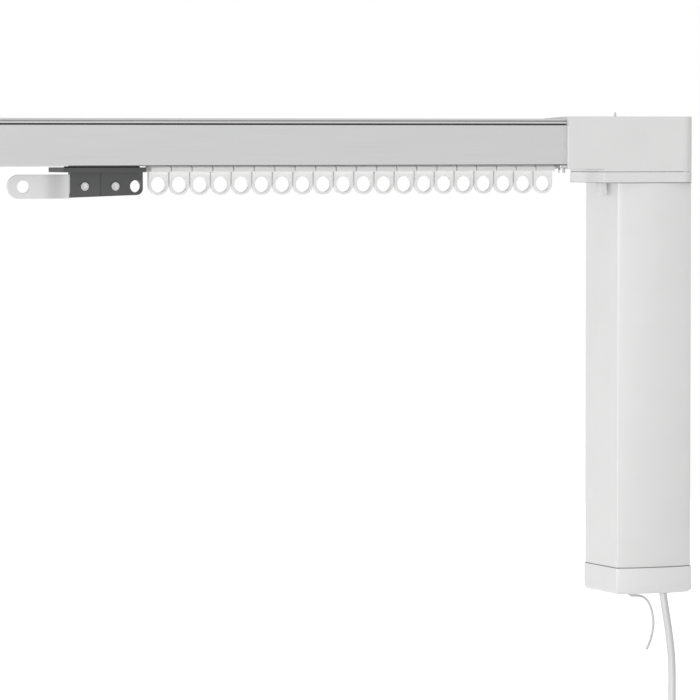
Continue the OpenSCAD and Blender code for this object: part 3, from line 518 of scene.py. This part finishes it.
def powder_coat(slot, dark, light):
    """A thick soft paint with an orange peel."""
    tree, shader = start_finish(slot, coat=PAINT_COAT)
    vary_colour(tree, shader, noise(tree, PAINT_SCALE), dark, light)
    vary_roughness(tree, shader, noise(tree, PAINT_GLOSS_SCALE), *PAINT_ROUGHNESS)
    add_bump(tree, shader, noise(tree, PEEL_SCALE), PEEL_DEPTH, RELIEF_STRENGTH)


plated_metal("zinc_steel", (0.50, 0.50, 0.51), (0.60, 0.60, 0.61), (0.22, 0.34))
plated_metal("plug_brass", (0.62, 0.57, 0.46), (0.70, 0.65, 0.53), (0.2, 0.32))
powder_coat("arm_paint", (0.775, 0.775, 0.772), (0.795, 0.795, 0.792))
print("finishes:", len(finishes))

# %% [markdown]
# ## Rounded edges
# The CAD meshes have knife edges, and real edges never do: a Bevel modifier rounds them and catches a thin
# line of light. It needs joined corners, which Weld gives, and whole flat faces, which Decimate gives by
# dissolving the long thin triangles that a CAD mesh is cut into. The round corners of the motor case are
# cut so finely that the bevel would have no room, so Weld joins their points there up to half a
# millimetre apart. Modifiers leave the CAD mesh itself as it is.

# %% Round an edge
EDGE_RADIUS = {
    "head_housing": 0.0005, "head_flange": 0.0003, "motor_shell": 0.0008,
    "motor_end_cap": 0.0008, "release_latch": 0.0008, "idler_housing": 0.0007,
    "idler_cover": 0.0006, "rail": 0.0002, "carrier_body": 0.0004,
    "carrier_front_plate": 0.0004, "carrier_rear_plate": 0.0004, "overlap_arm": 0.0003,
    "plug_body": 0.0016, "coil_tie": 0.0003, "carrier_screws": 0.0003, "case_screws": 0.0004,
    "rail_lock_screws": 0.0005, "rail_clamps": 0.0003, "lead_gland": 0.0004,
}
RUNNER_EDGE = 0.00025
EDGE_SEGMENTS = 2
SHARP_ANGLE = math.radians(40)
FLAT_ANGLE = math.radians(0.5)
JOIN_CORNERS = 0.000002
JOIN_ROUNDED = 0.0005
FINE_ROUNDED = {"motor_shell", "motor_end_cap"}
LONG_FLATS = FINE_ROUNDED | {"carrier_front_plate", "carrier_rear_plate", "carrier_body", "rail"}


def soften_edges(node, radius):
    """Joins split corners, then rounds each sharp edge by a small radius."""
    weld = node.modifiers.new("join_corners", "WELD")
    weld.merge_threshold = JOIN_ROUNDED if node.name in FINE_ROUNDED else JOIN_CORNERS
    if node.name in LONG_FLATS:
        flat = node.modifiers.new("merge_flats", "DECIMATE")
        flat.decimate_type = "DISSOLVE"
        flat.angle_limit = FLAT_ANGLE
    bevel = node.modifiers.new("round_edges", "BEVEL")
    bevel.width = radius
    bevel.segments = EDGE_SEGMENTS
    bevel.limit_method = "ANGLE"
    bevel.angle_limit = SHARP_ANGLE
    bevel.harden_normals = True


print("pieces with their own edge radius:", len(EDGE_RADIUS))

# %% [markdown]
# ## Giving each piece its finish
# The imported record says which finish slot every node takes, so a loop does the work. All twenty runners
# come from one mould and share one small edge radius. Pieces inside the housings keep their plain edges,
# because nobody sees them.

# %% Dress every node
for part in record["subparts"]:
    name = part["node"]
    node = nodes[name]
    node.data.materials.clear()
    node.data.materials.append(finishes[part["material_slot"]])
    if name in EDGE_RADIUS:
        soften_edges(node, EDGE_RADIUS[name])
    elif name.startswith("runner_"):
        soften_edges(node, RUNNER_EDGE)
lead.data.materials.append(finishes["lead_pvc"])
antenna.data.materials.append(finishes["antenna_pvc"])
print("dressed", len(record["subparts"]), "nodes")

# %% [markdown]
# ## A white studio
# The photograph has a pure white ground. More light would give that too, but it would wash out the pale
# plastics. So the world is white to the camera and to reflections, and dimmer as a light: the Light Path
# node tells the two apart.

# %% World
WORLD_LIGHT = 0.524
WHITE = (1, 1, 1, 1)

scene.view_settings.view_transform = "Standard"


def seen_directly(tree):
    """1 for camera, glossy and transmission rays, and 0 for the rays that carry light."""
    rays = tree.nodes.new("ShaderNodeLightPath").outputs
    mirrored = calculate(tree, "MAXIMUM", rays["Is Camera Ray"], rays["Is Glossy Ray"])
    return calculate(tree, "MAXIMUM", mirrored, rays["Is Transmission Ray"])


world = bpy.data.worlds.new("white_studio")
world.use_nodes = True
scene.world = world
sky_tree = world.node_tree
sky = sky_tree.nodes["Background"]
sky.inputs["Color"].default_value = WHITE
sky_strength = spread(sky_tree, seen_directly(sky_tree), WORLD_LIGHT, 1.0)
sky_tree.links.new(sky_strength, sky.inputs["Strength"])
print("world lights the track at", WORLD_LIGHT)

# %% [markdown]
# ## The floor
# The track hangs under a ceiling, so the floor lies two metres below it. It is one large pale face. A soft
# glow, seen only directly as the world's white is, brings it close to the white around it and leaves the
# light on the track alone.

# %% Floor
FLOOR_DROP = 2.2
FLOOR_HALF = 30
FLOOR_SHADE = (0.8, 0.8, 0.8, 1)
FLOOR_ROUGHNESS = 0.9
FLOOR_GLOW = 0.75

floor_z = cad_low.z - FLOOR_DROP
floor_corners = [
    (x * FLOOR_HALF, y * FLOOR_HALF, floor_z)
    for x, y in ((-1, -1), (1, -1), (1, 1), (-1, 1))
]
floor_data = bpy.data.meshes.new("studio_floor")
floor_data.from_pydata(floor_corners, [], [(0, 1, 2, 3)])
floor = bpy.data.objects.new("studio_floor", floor_data)
scene.collection.objects.link(floor)

floor_finish = bpy.data.materials.new("pale_floor")
floor_finish.use_nodes = True
floor_tree = floor_finish.node_tree
floor_shader = floor_tree.nodes["Principled BSDF"]
floor_shader.inputs["Base Color"].default_value = FLOOR_SHADE
floor_shader.inputs["Roughness"].default_value = FLOOR_ROUGHNESS
floor_shader.inputs["Emission Color"].default_value = WHITE
floor_glow = spread(floor_tree, seen_directly(floor_tree), 0.0, FLOOR_GLOW)
floor_tree.links.new(floor_glow, floor_shader.inputs["Emission Strength"])
floor_data.materials.append(floor_finish)
print("floor at", round(floor_z, 2), "m")

# %% [markdown]
# ## Lamps
# The light in the photograph is very soft, and a little stronger from the left. Big area lamps give that
# softness, and they stand far off, so the rail is lit alike from end to end. The left one is smaller,
# which draws a brighter line along the rounded edges that face it.

# %% Lamps
MIDDLE = Vector((0.3, 0, -0.15))

# Name, place, width in metres and power in watts
LAMPS = [
    ("left_light", (-5.7, 0.4, -0.3), 1.2, 71),
    ("front_light", (-2.9, -4.8, -1.0), 3.2, 159),
    ("top_light", (0.2, -0.6, 4.0), 3.2, 34),
]


def soft_lamp(name, place, size, watts):
    """A square area lamp that faces the middle of the track."""
    data = bpy.data.lights.new(name, "AREA")
    data.size = size
    data.energy = watts
    lamp = bpy.data.objects.new(name, data)
    lamp.location = place
    lamp.rotation_euler = (MIDDLE - Vector(place)).to_track_quat("-Z", "Y").to_euler()
    scene.collection.objects.link(lamp)


for lamp_facts in LAMPS:
    soft_lamp(*lamp_facts)
print("lamps:", len(LAMPS))
